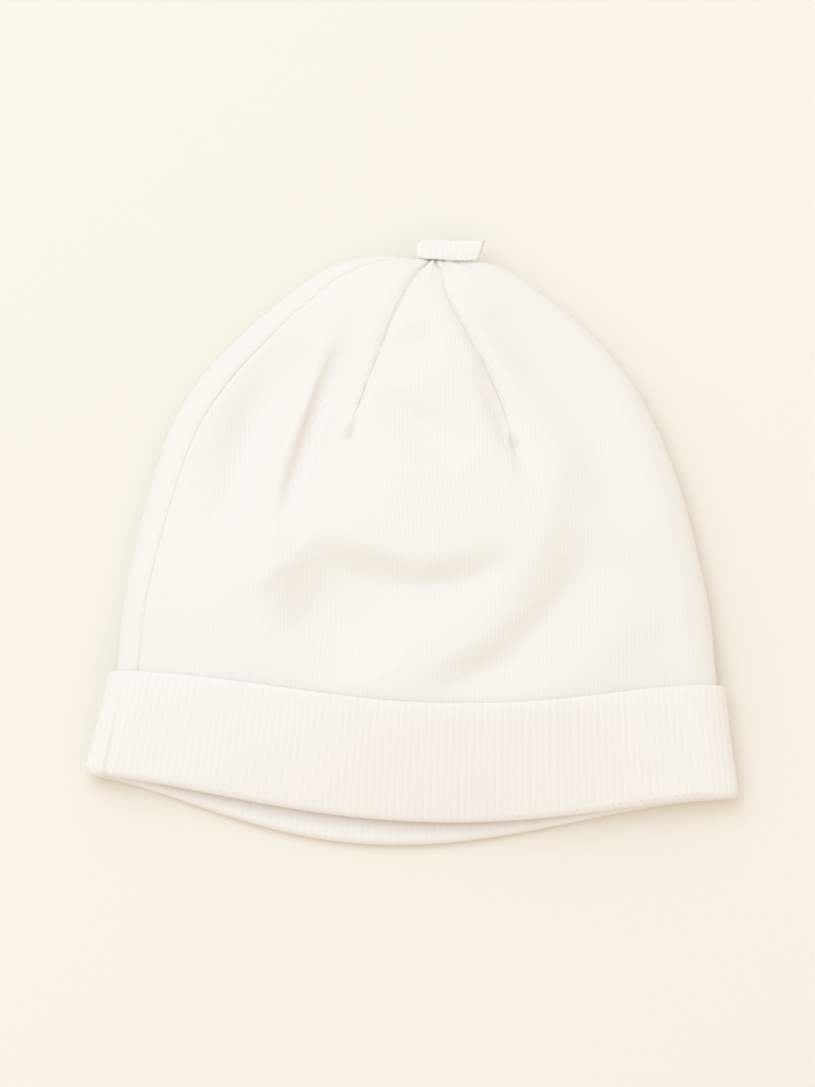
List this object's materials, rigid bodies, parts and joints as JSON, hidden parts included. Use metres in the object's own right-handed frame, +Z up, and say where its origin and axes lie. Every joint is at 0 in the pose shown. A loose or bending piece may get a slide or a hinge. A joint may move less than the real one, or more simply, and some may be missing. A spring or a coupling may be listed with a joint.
{
  "type": "baby nightcap",
  "caption": "Soft rib-knit dome cap for a baby's head, lying flat, with a turned-up cuff, crown darts and a small folded top tab.",
  "frame": {"origin": "middle of the cap's outline, on the surface that it lies on", "axes": "the cap lies on its back: +Z up through its front panel, +Y from the opening towards the gathered top, +X across, to the right in the picture"},
  "size_m": [0.168, 0.1592, 0.0215],
  "materials": {
    "crown_knit": "fine off-white cotton rib knit",
    "cuff_rib": "off-white cotton rib knit, two plies"
  },
  "bodies": {
    "root": {"crown_front": "crown_knit", "crown_back": "crown_knit", "cuff": "cuff_rib", "top_tab": "cuff_rib"}
  },
  "joints": []
}
